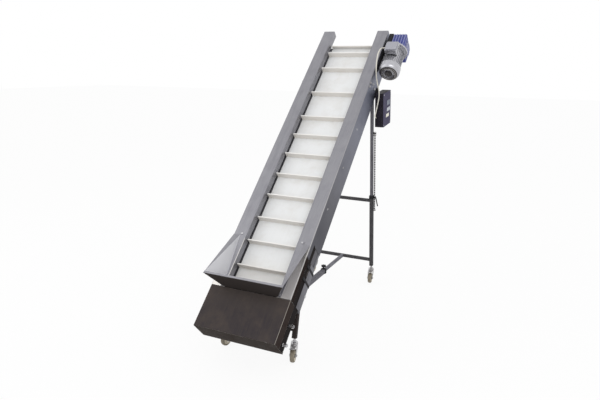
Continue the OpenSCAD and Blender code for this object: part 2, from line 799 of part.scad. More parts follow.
module fork() {
    plate_z = fork_top + fork_t;
    color("silver") {
        difference() {
            rotate_extrude($fn = 48) polygon([[0, plate_z], [race_r, plate_z], [race_r, plate_z + 4],
                [race_r - 3, plate_z + 5], [race_r - 3, plate_z + 6], [race_r - 1, plate_z + 7],
                [race_r - 1, race_top], [0, race_top]]);
            translate([0, 0, race_top - 7]) cylinder(r = stem_r + pin_gap, h = 10, $fn = 32);
        }
        translate([0, -2, fork_top]) linear_extrude(fork_t) round_rect(36, 44, 6);
        for (x = [-18, 18 - fork_t]) across(x, fork_t) union() {
            polygon([[16, fork_top + 1], [-20, fork_top + 1], [-trail - 11, wheel_d / 2 + 3],
                [-trail, wheel_d / 2], [-trail + 11, wheel_d / 2 - 3], [10, 64]]);
            translate([-trail, wheel_d / 2]) circle(r = 11, $fn = 48);
        }
        translate([-21, -trail, wheel_d / 2]) rotate([0, 90, 0]) {
            cylinder(r = axle_r, h = 42, $fn = 32);
            hex_bolt(7, 3.5);
            translate([0, 0, 38.5]) hex_bolt(7, 5);
        }
    }
}

module brake() {
    under = fork_top - eps;
    color("gray") {
        across(-14, 28) polygon([[-8, under], [-trail - 16, under], [-trail - 40, under + 8],
            [-trail - 42, under + 5.5], [-trail - 17, under - 3], [-8, under - 3]]);
        across(-10, 20) polygon([[-12, under - 2.5], [-trail - 8, under - 2.5], [-trail - 2, under - 6],
            [-16, under - 6]]);
    }
}

module castor_wheel() {
    bore = axle_r + pin_gap;
    half = wheel_w / 2;
    rim = wheel_d / 2;
    color("tan") translate([0, -trail, rim]) rotate([0, 90, 0]) rotate_extrude($fn = 64)
        polygon([[bore, -half - 1], [10, -half - 1], [12, -half + 3], [rim - 14, -half + 3],
            [rim - 11, -half], [rim - 5, -half], [rim - 1.5, -half + 3], [rim, -half + 8],
            [rim, half - 8], [rim - 1.5, half - 3], [rim - 5, half], [rim - 11, half],
            [rim - 14, half - 3], [12, half - 3], [10, half + 1], [bore, half + 1]]);
}

module fork_front_left() castor_at(-front_x, front_foot_y, turn_fl) fork();
module fork_front_right() castor_at(front_x, front_foot_y, turn_fr) fork();
module fork_rear_left() castor_at(-rear_x, rear_foot_y, turn_rl) fork();
module fork_rear_right() castor_at(rear_x, rear_foot_y, turn_rr) fork();
module brake_front_left() castor_at(-front_x, front_foot_y, turn_fl) brake();
module brake_front_right() castor_at(front_x, front_foot_y, turn_fr) brake();
module brake_rear_left() castor_at(-rear_x, rear_foot_y, turn_rl) brake();
module brake_rear_right() castor_at(rear_x, rear_foot_y, turn_rr) brake();
module wheel_front_left() castor_at(-front_x, front_foot_y, turn_fl) castor_wheel();
module wheel_front_right() castor_at(front_x, front_foot_y, turn_fr) castor_wheel();
module wheel_rear_left() castor_at(-rear_x, rear_foot_y, turn_rl) castor_wheel();
module wheel_rear_right() castor_at(rear_x, rear_foot_y, turn_rr) castor_wheel();

rails();
boot_sides();
boot_cover();
hopper();
belt_bed();
cross_ties();
lower_tubes();
tube_straps();
belt();
head_drum();
tail_drum();
head_bearings();
take_up_studs();
stand_pivots();
gearbox();
torque_arm();
motor();
fan_cowl();
terminal_box();
motor_cable();
cable_glands();
control_box();
control_keys();
control_bracket();
inner_posts();
stay_rod();
rear_frame();
post_collars();
rear_stems();
brace_inner();
front_frame();
front_stems();
brace_outer();
brace_knob();
fork_front_left();
fork_front_right();
fork_rear_left();
fork_rear_right();
brake_front_left();
brake_front_right();
brake_rear_left();
brake_rear_right();
wheel_front_left();
wheel_front_right();
wheel_rear_left();
wheel_rear_right();
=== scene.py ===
import bpy
import bmesh
import json
import math
from mathutils import Matrix, Vector


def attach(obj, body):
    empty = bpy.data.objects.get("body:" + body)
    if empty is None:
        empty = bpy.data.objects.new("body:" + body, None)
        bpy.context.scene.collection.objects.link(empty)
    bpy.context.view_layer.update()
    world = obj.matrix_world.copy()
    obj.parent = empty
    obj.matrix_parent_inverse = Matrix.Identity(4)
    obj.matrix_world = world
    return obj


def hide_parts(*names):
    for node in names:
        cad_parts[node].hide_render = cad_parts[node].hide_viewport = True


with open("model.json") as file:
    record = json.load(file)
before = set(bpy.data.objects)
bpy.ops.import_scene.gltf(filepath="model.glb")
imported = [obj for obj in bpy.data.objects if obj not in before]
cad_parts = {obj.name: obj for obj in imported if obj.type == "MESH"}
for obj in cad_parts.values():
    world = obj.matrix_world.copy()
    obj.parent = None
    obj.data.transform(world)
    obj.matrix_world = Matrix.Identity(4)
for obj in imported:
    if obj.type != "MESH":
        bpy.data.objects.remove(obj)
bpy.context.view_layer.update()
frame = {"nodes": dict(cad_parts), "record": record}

nodes = frame["nodes"]
bpy.ops.object.select_all(action="DESELECT")
scene = bpy.context.scene
print("frame loaded:", len(nodes), "nodes")

# Camera: the photograph's place and lens, taken as 600 x 400
cameraLook = {"place": (1.31078, -3.13063, 1.56382), "turn": (76.4686, -0.6277, 25.3602),
              "lens": 33.5295, "sensor": 36.0, "shift": (0.01078, 0.00064)}


def addCamera(look):
    data = bpy.data.cameras.new("camera")
    data.sensor_fit = "HORIZONTAL"
    data.sensor_width = look["sensor"]
    data.lens = look["lens"]
    data.shift_x, data.shift_y = look["shift"]
    data.clip_start = 0.05
    camera = bpy.data.objects.new("camera", data)
    bpy.context.collection.objects.link(camera)
    camera.location = look["place"]
    camera.rotation_euler = [math.radians(a) for a in look["turn"]]
    scene.camera = camera


addCamera(cameraLook)

# The belt's own axes: x across from the middle, l up along the belt, n square to it
incline = {"deg": 42.5, "cornerZ": 0.238, "shiftX": -0.0665, "shiftY": -0.913159}
slope = math.radians(incline["deg"])
beltOrigin = Vector((incline["shiftX"], incline["shiftY"], incline["cornerZ"]))
beltTurn = Matrix.Rotation(slope, 4, "X")


def onBelt(x, l, n):
    return Matrix.Translation(beltOrigin) @ beltTurn @ Matrix.Translation(Vector((x, l, n)))


print("camera placed")

# Motor cable: the route of the part's own cord, from the terminal box to the control box
cableLook = {"diameter": 0.008, "gland": (272.0, 1548.259, 1687.886), "straight": (0.3, 4, 8),
             "pivot": (1436.683, 1418.843), "stiffness": "medium",
             "route": ((253, 109, 268), (249, 93, 265), (248, 68, 256), (248, 23, 222), (248, 1, 152),
                       (250, 2, 92), (262, -7, 42), (276, -11, -3), (279, -9, -43), (272, -3, -88),
                       (262, 3, -133), (255, 4, -168), (254, 9, -186), (254, 16, -190), (254, 20, -190),
                       (254, 24, -190))}


def curvePoint(a, b, c, d, t):
    return 0.5 * (2 * b + (c - a) * t + (2 * a - 5 * b + 4 * c - d) * t * t
                  + (3 * b - a - 3 * c + d) * t * t * t)


def cableCentre(look, steps=5):
    shift = Vector((incline["shiftX"], incline["shiftY"], 0))
    gx, gy, gz = look["gland"]
    marks = [Vector((gx - d, gy, gz)) for d in look["straight"]]
    marks += [Vector((x, look["pivot"][0] + y, look["pivot"][1] + z)) for x, y, z in look["route"]]
    marks = [m / 1000 + shift for m in marks]
    last = len(marks) - 1
    line = []
    for i in range(last):
        a, d = marks[max(i - 1, 0)], marks[min(i + 2, last)]
        line += [curvePoint(a, marks[i], marks[i + 1], d, k / steps) for k in range(steps)]
    return line + [marks[last]]


def addCable(look):
    centre = cableCentre(look)
    data = bpy.data.curves.new("motorCable", "CURVE")
    data.dimensions = "3D"
    data.bevel_depth = look["diameter"] / 2
    data.bevel_resolution = 3
    spline = data.splines.new("POLY")
    spline.points.add(len(centre) - 1)
    for point, mark in zip(spline.points, centre):
        point.co = (*mark, 1)
    cable = bpy.data.objects.new("motorCable", data)
    bpy.context.collection.objects.link(cable)
    data.use_fill_caps = True
    bpy.ops.object.select_all(action="DESELECT")
    cable.select_set(True)
    bpy.context.view_layer.objects.active = cable
    bpy.ops.object.convert(target="MESH")
    cable = bpy.context.object
    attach(cable, "conveyor")
    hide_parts("motor_cable")
    return cable


motorCable = addCable(cableLook)
print("cable laid")

# Studio: pale floor, soft light from above the camera, white seen behind and in reflections
studio = {"floor": 0.86, "floorWhite": 0.9, "world": 0.92, "keyPower": 50.0, "fillPower": 18.0}


def seenWhite(tree, shader, factor):
    # White for camera, glossy and transmission rays, the given shader for the rest
    path = tree.nodes.new("ShaderNodeLightPath")
    rays = path.outputs["Is Camera Ray"]
    for name in ("Is Glossy Ray", "Is Transmission Ray"):
        most = tree.nodes.new("ShaderNodeMath")
        most.operation = "MAXIMUM"
        tree.links.new(rays, most.inputs[0])
        tree.links.new(path.outputs[name], most.inputs[1])
        rays = most.outputs[0]
    part = tree.nodes.new("ShaderNodeMath")
    part.operation = "MULTIPLY"
    part.inputs[1].default_value = factor
    tree.links.new(rays, part.inputs[0])
    white = tree.nodes.new("ShaderNodeBackground" if factor == 1 else "ShaderNodeEmission")
    white.inputs["Color"].default_value = (1, 1, 1, 1)
    white.inputs["Strength"].default_value = 1.0
    mix = tree.nodes.new("ShaderNodeMixShader")
    tree.links.new(part.outputs[0], mix.inputs[0])
    tree.links.new(shader.outputs[0], mix.inputs[1])
    tree.links.new(white.outputs[0], mix.inputs[2])
    return mix


def addStudio(look):
    world = bpy.data.worlds.new("studioWorld")
    scene.world = world
    world.use_nodes = True
    tree = world.node_tree
    tree.nodes.clear()
    lit = tree.nodes.new("ShaderNodeBackground")
    lit.inputs["Color"].default_value = (1, 1, 1, 1)
    lit.inputs["Strength"].default_value = look["world"]
    out = tree.nodes.new("ShaderNodeOutputWorld")
    tree.links.new(seenWhite(tree, lit, 1).outputs[0], out.inputs["Surface"])
    bpy.ops.mesh.primitive_plane_add(size=60, location=(0, 0, 0))
    floor = bpy.context.object
    floor.name = "studioFloor"
    material = bpy.data.materials.new("studioFloor")
    material.use_nodes = True
    tree = material.node_tree
    shader = tree.nodes["Principled BSDF"]
    shader.inputs["Base Color"].default_value = (look["floor"],) * 3 + (1,)
    shader.inputs["Roughness"].default_value = 0.9
    shader.inputs["Specular IOR Level"].default_value = 0.1
    tree.links.new(seenWhite(tree, shader, look["floorWhite"]).outputs[0],
                   tree.nodes["Material Output"].inputs["Surface"])
    floor.data.materials.append(material)
    for name, place, size, power in (("keyLight", (2.2, -3.4, 4.2), 3.4, look["keyPower"]),
                                     ("fillLight", (-3.2, -1.6, 3.0), 3.4, look["fillPower"])):
        data = bpy.data.lights.new(name, "AREA")
        data.size = size
        data.energy = power
        lamp = bpy.data.objects.new(name, data)
        bpy.context.collection.objects.link(lamp)
        lamp.location = place
        lamp.rotation_euler = (Vector((0, 0, 0.8)) - Vector(place)).to_track_quat("-Z", "Y").to_euler()
    bpy.ops.object.select_all(action="DESELECT")


addStudio(studio)
scene.view_settings.view_transform = "Standard"
print("studio lit")


# Shared surface effects, each a group with named sockets
def startGroup(name, sockets):
    group = bpy.data.node_groups.new(name, "ShaderNodeTree")
    for label, way, kind, value in sockets:
        socket = group.interface.new_socket(name=label, in_out=way, socket_type=kind)
        if value is not None:
            socket.default_value = value
    return group, group.nodes.new("NodeGroupInput"), group.nodes.new("NodeGroupOutput")


def noiseAt(tree, vector, scale, detail=3.0, rough=0.55):
    noise = tree.nodes.new("ShaderNodeTexNoise")
    noise.inputs["Scale"].default_value = scale
    noise.inputs["Detail"].default_value = detail
    noise.inputs["Roughness"].default_value = rough
    tree.links.new(vector, noise.inputs["Vector"])
    return noise.outputs["Fac"]


def mathOf(tree, operation, a, b=None):
    node = tree.nodes.new("ShaderNodeMath")
    node.operation = operation
    for socket, value in zip(node.inputs, (a, b)):
        if isinstance(value, (int, float)):
            socket.default_value = value
        elif value is not None:
            tree.links.new(value, socket)
    return node.outputs[0]


def ramp(tree, value, low, high, toLow=0.0, toHigh=1.0):
    node = tree.nodes.new("ShaderNodeMapRange")
    node.inputs["From Min"].default_value = low
    node.inputs["From Max"].default_value = high
    node.inputs["To Min"].default_value = toLow
    node.inputs["To Max"].default_value = toHigh
    tree.links.new(value, node.inputs["Value"])
    return node.outputs["Result"]


def makeGrainGroup():
    # Fine streaks along the vector's y, and broad clouds
    group, start, end = startGroup("brushedGrain", (
        ("Vector", "INPUT", "NodeSocketVector", None), ("Streak", "OUTPUT", "NodeSocketFloat", None),
        ("Cloud", "OUTPUT", "NodeSocketFloat", None)))
    stretch = group.nodes.new("ShaderNodeMapping")
    stretch.inputs["Scale"].default_value = (1, 0.03, 1)
    group.links.new(start.outputs["Vector"], stretch.inputs["Vector"])
    fine = noiseAt(group, stretch.outputs[0], 420, 2)
    broad = noiseAt(group, stretch.outputs[0], 46, 2)
    group.links.new(mathOf(group, "ADD", mathOf(group, "MULTIPLY", fine, 0.6),
                           mathOf(group, "MULTIPLY", broad, 0.4)), end.inputs["Streak"])
    group.links.new(noiseAt(group, start.outputs["Vector"], 5.5, 4), end.inputs["Cloud"])
    return group


def makeWornEdgeAndHighlightGroup():
    # Bright where an edge is within the radius: worn edges and painted edge highlights
    group, start, end = startGroup("edgeWearAndHighlight", (
        ("Radius", "INPUT", "NodeSocketFloat", 0.0012), ("Vector", "INPUT", "NodeSocketVector", None),
        ("Mask", "OUTPUT", "NodeSocketFloat", None), ("Normal", "OUTPUT", "NodeSocketVector", None)))
    bevel = group.nodes.new("ShaderNodeBevel")
    bevel.samples = 4
    group.links.new(start.outputs["Radius"], bevel.inputs["Radius"])
    geometry = group.nodes.new("ShaderNodeNewGeometry")
    dot = group.nodes.new("ShaderNodeVectorMath")
    dot.operation = "DOT_PRODUCT"
    group.links.new(bevel.outputs[0], dot.inputs[0])
    group.links.new(geometry.outputs["Normal"], dot.inputs[1])
    worn = ramp(group, noiseAt(group, start.outputs["Vector"], 30, 3), 0.3, 0.62, 0.35, 1.0)
    group.links.new(mathOf(group, "MULTIPLY", ramp(group, dot.outputs["Value"], 0.995, 0.86), worn),
                    end.inputs["Mask"])
    group.links.new(bevel.outputs[0], end.inputs["Normal"])
    return group


def makeDustGroup():
    # Smudges and small specks
    group, start, end = startGroup("dustAndSmudge", (
        ("Vector", "INPUT", "NodeSocketVector", None), ("Smudge", "OUTPUT", "NodeSocketFloat", None),
        ("Speck", "OUTPUT", "NodeSocketFloat", None)))
    group.links.new(ramp(group, noiseAt(group, start.outputs["Vector"], 9, 5, 0.65), 0.46, 0.7),
                    end.inputs["Smudge"])
    group.links.new(ramp(group, noiseAt(group, start.outputs["Vector"], 180, 2), 0.68, 0.74),
                    end.inputs["Speck"])
    return group


grainGroup, wornEdgeAndHighlightGroup, dustGroup = makeGrainGroup(), makeWornEdgeAndHighlightGroup(), makeDustGroup()


def useGroup(tree, group, vector):
    node = tree.nodes.new("ShaderNodeGroup")
    node.node_tree = group
    tree.links.new(vector, node.inputs["Vector"])
    return node


def mixColor(tree, factor, a, b):
    node = tree.nodes.new("ShaderNodeMix")
    node.data_type = "RGBA"
    for socket, value in ((node.inputs[0], factor), (node.inputs[6], a), (node.inputs[7], b)):
        if isinstance(value, (int, float)):
            socket.default_value = value
        elif isinstance(value, tuple):
            socket.default_value = (*value, 1)
        else:
            tree.links.new(value, socket)
    return node.outputs[2]


# Finishes: base and second colour, grain, roughness, worn edges with painted edge highlights, and smudges of every
# surface
finishes = {
    "stainless": {"color": (0.245, 0.243, 0.27), "second": (0.33, 0.327, 0.35), "metal": 0.85,
                  "spec": 0.0, "rough": 0.36, "grain": 0.10, "edge": (0.62, 0.62, 0.66), "edgeSize": 0.0011,
                  "smudge": (0.23, 0.225, 0.25), "smudgeAmount": 0.35},
    "boot_steel": {"color": (0.040, 0.035, 0.041), "second": (0.060, 0.051, 0.049), "metal": 0.1,
                   "spec": 0.008, "rough": 0.33, "grain": 0.06, "edge": (0.62, 0.6, 0.58), "edgeSize": 0.0016,
                   "smudge": (0.088, 0.07, 0.06), "smudgeAmount": 0.6},
    "belt": {"color": (0.80, 0.81, 0.82), "second": (0.775, 0.785, 0.785), "metal": 0.0,
             "rough": 0.48, "grain": 0.02, "edge": (0.86, 0.85, 0.83), "edgeSize": 0.0008,
             "smudge": (0.67, 0.655, 0.63), "smudgeAmount": 0.5},
    # frame_tube: satin tubing given its tone in shade, a painted shade
    "frame_tube": {"color": (0.055, 0.053, 0.056), "second": (0.085, 0.083, 0.088), "metal": 0.1,
                   "spec": 0.008, "rough": 0.36, "grain": 0.08, "edge": (0.22, 0.22, 0.24), "edgeSize": 0.0012,
                   "smudge": (0.04, 0.038, 0.038), "smudgeAmount": 0.4},
    "zinc": {"color": (0.42, 0.41, 0.41), "second": (0.62, 0.62, 0.64), "metal": 0.95,
             "rough": 0.3, "grain": 0.05, "edge": (0.8, 0.8, 0.82), "edgeSize": 0.0008,
             "smudge": (0.2, 0.17, 0.13), "smudgeAmount": 0.55},
    "black_plastic": {"color": (0.012, 0.012, 0.014), "second": (0.03, 0.03, 0.033), "metal": 0.0,
                      "spec": 0.03, "rough": 0.42, "grain": 0.03, "edge": (0.09, 0.09, 0.1), "edgeSize": 0.0008,
                      "smudge": (0.05, 0.048, 0.045), "smudgeAmount": 0.2},
    "gear_paint": {"color": (0.035, 0.045, 0.23), "second": (0.06, 0.075, 0.32), "metal": 0.0,
                   "rough": 0.34, "grain": 0.03, "edge": (0.42, 0.44, 0.6), "edgeSize": 0.0016,
                   "smudge": (0.10, 0.105, 0.17), "smudgeAmount": 0.3},
    "motor_alu": {"color": (0.42, 0.42, 0.45), "second": (0.54, 0.54, 0.57), "metal": 0.85,
                  "rough": 0.24, "grain": 0.04, "edge": (0.72, 0.72, 0.75), "edgeSize": 0.0012,
                  "smudge": (0.28, 0.275, 0.28), "smudgeAmount": 0.3},
    "box_paint": {"color": (0.016, 0.014, 0.019), "second": (0.03, 0.027, 0.036), "metal": 0.0,
                  "spec": 0.03, "rough": 0.38, "grain": 0.02, "edge": (0.10, 0.095, 0.13), "edgeSize": 0.0012,
                  "smudge": (0.05, 0.046, 0.056), "smudgeAmount": 0.25},
    "cable": {"color": (0.77, 0.74, 0.67), "second": (0.68, 0.65, 0.58), "metal": 0.0,
              "rough": 0.5, "grain": 0.02, "edge": (0.8, 0.78, 0.72), "edgeSize": 0.0005,
              "smudge": (0.45, 0.42, 0.36), "smudgeAmount": 0.35},
    # tread: dark olive, darkened as painted shade of the wheels in shadow
    "tread": {"color": (0.16, 0.135, 0.10), "second": (0.23, 0.2, 0.15), "metal": 0.0,
              "rough": 0.62, "grain": 0.05, "edge": (0.3, 0.27, 0.22), "edgeSize": 0.0008,
              "smudge": (0.30, 0.27, 0.22), "smudgeAmount": 0.5},
    "keys": {"color": (0.50, 0.53, 0.58), "second": (0.58, 0.6, 0.64), "metal": 0.0,
             "rough": 0.35, "grain": 0.01, "edge": (0.75, 0.76, 0.8), "edgeSize": 0.0006,
             "smudge": (0.4, 0.4, 0.42), "smudgeAmount": 0.2},
}


def regionMask(tree, axes, rules):
    # A product of steps: (axis, low, high) rises from low to high, or falls where low is larger
    mask = None
    for axis, low, high in rules:
        step = ramp(tree, axes[axis], low, high)
        mask = step if mask is None else mathOf(tree, "MULTIPLY", mask, step)
    return mask


def makeFinish(name, look, regions=(), turn=-slope, origin=None):
    material = bpy.data.materials.new(name)
    material.use_nodes = True
    tree = material.node_tree
    shader = tree.nodes["Principled BSDF"]
    coords = tree.nodes.new("ShaderNodeTexCoord")
    back = tree.nodes.new("ShaderNodeMapping")
    back.inputs["Rotation"].default_value = (turn, 0, 0)
    start = beltOrigin if origin is None else Vector(origin)
    back.inputs["Location"].default_value = -(Matrix.Rotation(turn, 3, "X") @ start)
    tree.links.new(coords.outputs["Object"], back.inputs["Vector"])
    split = tree.nodes.new("ShaderNodeSeparateXYZ")
    tree.links.new(back.outputs[0], split.inputs[0])
    axes = {"x": split.outputs[0], "l": split.outputs[1], "n": split.outputs[2]}
    axes["absX"] = mathOf(tree, "ABSOLUTE", axes["x"])
    if any(rule[0] == "faceX" for row in regions for rule in row[0]):
        facing = tree.nodes.new("ShaderNodeSeparateXYZ")
        tree.links.new(tree.nodes.new("ShaderNodeNewGeometry").outputs["Normal"], facing.inputs[0])
        axes["faceX"] = facing.outputs[0]
    if any(rule[0] == "r" for row in regions for rule in row[0]):
        square = mathOf(tree, "ADD", mathOf(tree, "POWER", axes["l"], 2.0),
                        mathOf(tree, "POWER", axes["n"], 2.0))
        axes["r"] = mathOf(tree, "SQRT", square)
    grain = useGroup(tree, grainGroup, back.outputs[0])
    wearAndHighlight = useGroup(tree, wornEdgeAndHighlightGroup, back.outputs[0])
    wearAndHighlight.inputs["Radius"].default_value = look["edgeSize"]
    dust = useGroup(tree, dustGroup, back.outputs[0])
    streaks = ramp(tree, grain.outputs["Streak"], 0.36, 0.64)
    color = mixColor(tree, streaks, look["color"], look["second"])
    clouds = ramp(tree, grain.outputs["Cloud"], 0.35, 0.7, 0.0, 0.6)
    color = mixColor(tree, clouds, color, look["second"])
    smudge = mathOf(tree, "MULTIPLY", dust.outputs["Smudge"], look["smudgeAmount"])
    color = mixColor(tree, smudge, color, look["smudge"])
    metal = look["metal"]
    for rules, tint, amount in regions:
        mask = mathOf(tree, "MULTIPLY", regionMask(tree, axes, rules), amount)
        color = mixColor(tree, mask, color, tint)
        if max(tint) < 0.12:
            metal = mathOf(tree, "MULTIPLY", mathOf(tree, "SUBTRACT", 1.0, mask), metal)
    if not isinstance(metal, float):
        tree.links.new(metal, shader.inputs["Metallic"])
    # Worn edges and painted edge highlights: edges lightened towards the finish's edge colour
    color = mixColor(tree, mathOf(tree, "MULTIPLY", wearAndHighlight.outputs["Mask"], 0.8), color, look["edge"])
    tree.links.new(color, shader.inputs["Base Color"])
    rough = mathOf(tree, "ADD", ramp(tree, grain.outputs["Streak"], 0.3, 0.7, -0.05, 0.06),
                   ramp(tree, dust.outputs["Smudge"], 0.0, 1.0, look["rough"], look["rough"] + 0.12))
    tree.links.new(rough, shader.inputs["Roughness"])
    shader.inputs["Metallic"].default_value = look["metal"]
    shader.inputs["Specular IOR Level"].default_value = look.get("spec", 0.3)
    bump = tree.nodes.new("ShaderNodeBump")
    bump.inputs["Strength"].default_value = look["grain"]
    bump.inputs["Distance"].default_value = 0.001
    height = mathOf(tree, "ADD", grain.outputs["Streak"], mathOf(tree, "MULTIPLY", dust.outputs["Speck"], 0.5))
    tree.links.new(height, bump.inputs["Height"])
    tree.links.new(wearAndHighlight.outputs["Normal"], bump.inputs["Normal"])
    tree.links.new(bump.outputs[0], shader.inputs["Normal"])
    return material


# Dark brown painted shade for the boot's end face
bootEndShade = (0.024, 0.016, 0.012)
regionsOf = {
    # Painted shade: the rail side plate below the top edge darkened, darkest towards the low end
    "rails": (((("absX", 0.2382, 0.2394), ("n", -0.004, -0.012), ("l", 1.9, 0.7)), (0.072, 0.072, 0.084), 0.85),
              # Painted shade: the rail side plate a darker bluish grey higher up
              ((("absX", 0.2382, 0.2394), ("n", -0.006, -0.012), ("l", 0.9, 1.8)), (0.125, 0.138, 0.20), 0.8),
              # Painted shade: the rail side near-black beside the boot
              ((("absX", 0.2382, 0.2394), ("l", 0.512, 0.500)), (0.022, 0.016, 0.014), 0.96),
              # Painted light: the rail top lightened beside the hopper, where the wing's shadow falls
              ((("absX", 0.2384, 0.2360), ("n", -0.0030, -0.0016), ("l", 0.560, 0.545)), (0.84, 0.81, 0.77), 0.92),
              # Painted highlight: a bright line along the rail's outer top edge
              ((("absX", 0.2378, 0.2390), ("n", -0.0034, -0.0022), ("l", 1.70, 0.60)), (0.62, 0.60, 0.57), 0.9)),
    # Painted reflection: the hopper's front wall below the rim darkened, a painted dark reflection
    "hopper": (((("l", 0.2466, 0.2459),), (0.036, 0.029, 0.026), 0.97),
               # Painted light: the left wing's inner face lightened
               ((("faceX", 0.25, 0.45), ("x", -0.14, -0.15)), (0.74, 0.74, 0.77), 0.95)),
    # Painted shade: the boot's end face darkened to dark brown
    "boot_cover": (((("l", 0.0030, 0.0008),), bootEndShade, 0.95),
                   ((("l", 0.12, 0.24), ("n", -0.01, -0.001)), (0.085, 0.070, 0.062), 0.6),
                   ((("absX", 0.2382, 0.2394), ("n", -0.003, -0.006)), (0.028, 0.019, 0.016), 0.9),
                   # Painted highlight: a bright line along the boot cover's outer top edge
                   ((("absX", 0.2382, 0.2394), ("n", -0.0030, -0.0018)), (0.62, 0.57, 0.50), 0.8)),
    # Painted shade: the boot sides near-black below the flange, in the recess
    "boot_sides": (((("n", -0.02, -0.05),), (0.008, 0.006, 0.006), 0.9),),
    "belt": (((("n", -0.0618, -0.0595),), (0.74, 0.70, 0.645), 0.75),
             ((("n", -0.0300, -0.0262),), (0.88, 0.865, 0.84), 0.9),
             ((("n", -0.1252, -0.128),), (0.74, 0.70, 0.645), 0.75),
             ((("l", 0.50, 0.25),), (0.70, 0.655, 0.58), 0.45),
             ((("x", 0.10, 0.16),), (0.62, 0.60, 0.57), 0.35)),
    "control_box": (((("x", 0.3030, 0.3046),), (0.060, 0.053, 0.105), 0.9),),
    "terminal_box": (((("n", 0.046, 0.052),), (0.37, 0.37, 0.42), 0.7),),
    "front_frame": (((("x", -9, -8),), (0.032, 0.022, 0.020), 0.75),),
}
# Lighter copies of the frame tube finish, for the same tubing where it stands in the light: painted light
litAndShadedTubes = {"lower_tubes": dict(finishes["frame_tube"], color=(0.15, 0.148, 0.165), second=(0.21, 0.21, 0.23)),
            "inner_posts": dict(finishes["frame_tube"], color=(0.115, 0.112, 0.128), second=(0.15, 0.147, 0.165)),
            "brace_inner": dict(finishes["frame_tube"], color=(0.16, 0.158, 0.18), second=(0.22, 0.22, 0.245)),
            "brace_outer": dict(finishes["frame_tube"], color=(0.11, 0.108, 0.122), second=(0.17, 0.168, 0.19))}
wheelTurns = {"front_left": (-204.5, 305.0007, -12), "front_right": (204.5, 305.0007, 14),
              "rear_left": (-227.5, 1599.3154, -18), "rear_right": (227.5, 1599.3154, 8)}
wheelLook = {"trail": 0.033, "axleZ": 0.0375}


def wheelMaterial(corner, look):
    # Olive tread darkened as painted shade, cream hub and dark centre, by the distance from the axle
    x, y, turn = wheelTurns[corner]
    angle = math.radians(turn)
    centre = Vector((x / 1000 + incline["shiftX"] + look["trail"] * math.sin(angle),
                     y / 1000 + incline["shiftY"] - look["trail"] * math.cos(angle), look["axleZ"]))
    regions = (((("r", 0.0285, 0.0270),), (0.66, 0.60, 0.49), 0.9),
               ((("r", 0.0125, 0.0105),), (0.06, 0.055, 0.05), 0.9))
    return makeFinish("tread_" + corner, finishes["tread"], regions, turn=0.0, origin=centre)


def bandedRod(period=0.017):
    # A threaded rod with a dark band of painted shade at each notch, up its length
    rod = makeFinish("stay_rod", dict(finishes["zinc"], smudgeAmount=0.3), turn=0.0, origin=(0, 0, 0))
    tree = rod.node_tree
    split = next(node for node in tree.nodes if node.type == "SEPXYZ")
    wave = mathOf(tree, "PINGPONG", split.outputs[2], period / 2)
    notchShade = ramp(tree, wave, period * 0.20, period * 0.28)
    shader = tree.nodes["Principled BSDF"]
    plain = shader.inputs["Base Color"].links[0].from_socket
    tree.links.new(mixColor(tree, notchShade, (0.03, 0.028, 0.028), plain), shader.inputs["Base Color"])
    return rod


materials = {name: makeFinish(name, look) for name, look in finishes.items()}


def dress(piece, material):
    piece.data.materials.clear()
    piece.data.materials.append(material)


for row in frame["record"]["subparts"]:
    name, slotName = row["node"], row["material_slot"]
    if name.startswith("wheel_"):
        material = wheelMaterial(name[6:], wheelLook)
    elif name == "stay_rod":
        material = bandedRod()
    elif name in regionsOf or name in litAndShadedTubes:
        look = litAndShadedTubes.get(name, finishes[slotName])
        material = makeFinish(name, look, regionsOf.get(name, ()))
    else:
        material = materials[slotName]
    dress(nodes[name], material)
dress(motorCable, materials["cable"])
print("finishes placed")

# Modelling helpers: a primitive is shaped in edit mode, then laid at its place in the mesh
def startSolid(kind, **settings):
    bpy.ops.object.select_all(action="DESELECT")
    getattr(bpy.ops.mesh, "primitive_" + kind + "_add")(**settings)
    piece = bpy.context.object
    bpy.ops.object.transform_apply(location=True, rotation=True, scale=True)
    return piece


def block(size, centre):
    piece = startSolid("cube", size=1, location=(0, 0, 0))
    piece.scale = size
    piece.location = centre
    bpy.ops.object.transform_apply(location=True, rotation=True, scale=True)
    return piece


def pickFaces(piece, test):
    if piece.mode != "EDIT":
        bpy.ops.object.mode_set(mode="EDIT")
    bpy.ops.mesh.select_mode(type="FACE")
    bpy.ops.mesh.select_all(action="DESELECT")
    shape = bmesh.from_edit_mesh(piece.data)
    for face in shape.faces:
        face.select_set(test(face.calc_center_median(), face.normal))
    bmesh.update_edit_mesh(piece.data)


def pickEdges(piece, test):
    if piece.mode != "EDIT":
        bpy.ops.object.mode_set(mode="EDIT")
    bpy.ops.mesh.select_mode(type="EDGE")
    bpy.ops.mesh.select_all(action="DESELECT")
    shape = bmesh.from_edit_mesh(piece.data)
    for edge in shape.edges:
        edge.select_set(test(edge.verts[0].co, edge.verts[1].co))
    bmesh.update_edit_mesh(piece.data)


def roundAll(piece, width, segments=2):
    if piece.mode == "EDIT":
        bpy.ops.object.mode_set(mode="OBJECT")
    mod = piece.modifiers.new("round", "BEVEL")
    mod.width, mod.segments, mod.limit_method = width, segments, "ANGLE"
    bpy.ops.object.modifier_apply(modifier=mod.name)


def repeat(piece, count, step):
    mod = piece.modifiers.new("row", "ARRAY")
    mod.count, mod.use_relative_offset, mod.use_constant_offset = count, False, True
    mod.constant_offset_displace = step
    bpy.ops.object.modifier_apply(modifier=mod.name)


def joined(first, *others):
    bpy.ops.object.select_all(action="DESELECT")
    for piece in (first, *others):
        piece.select_set(True)
    bpy.context.view_layer.objects.active = first
    bpy.ops.object.join()
    return first


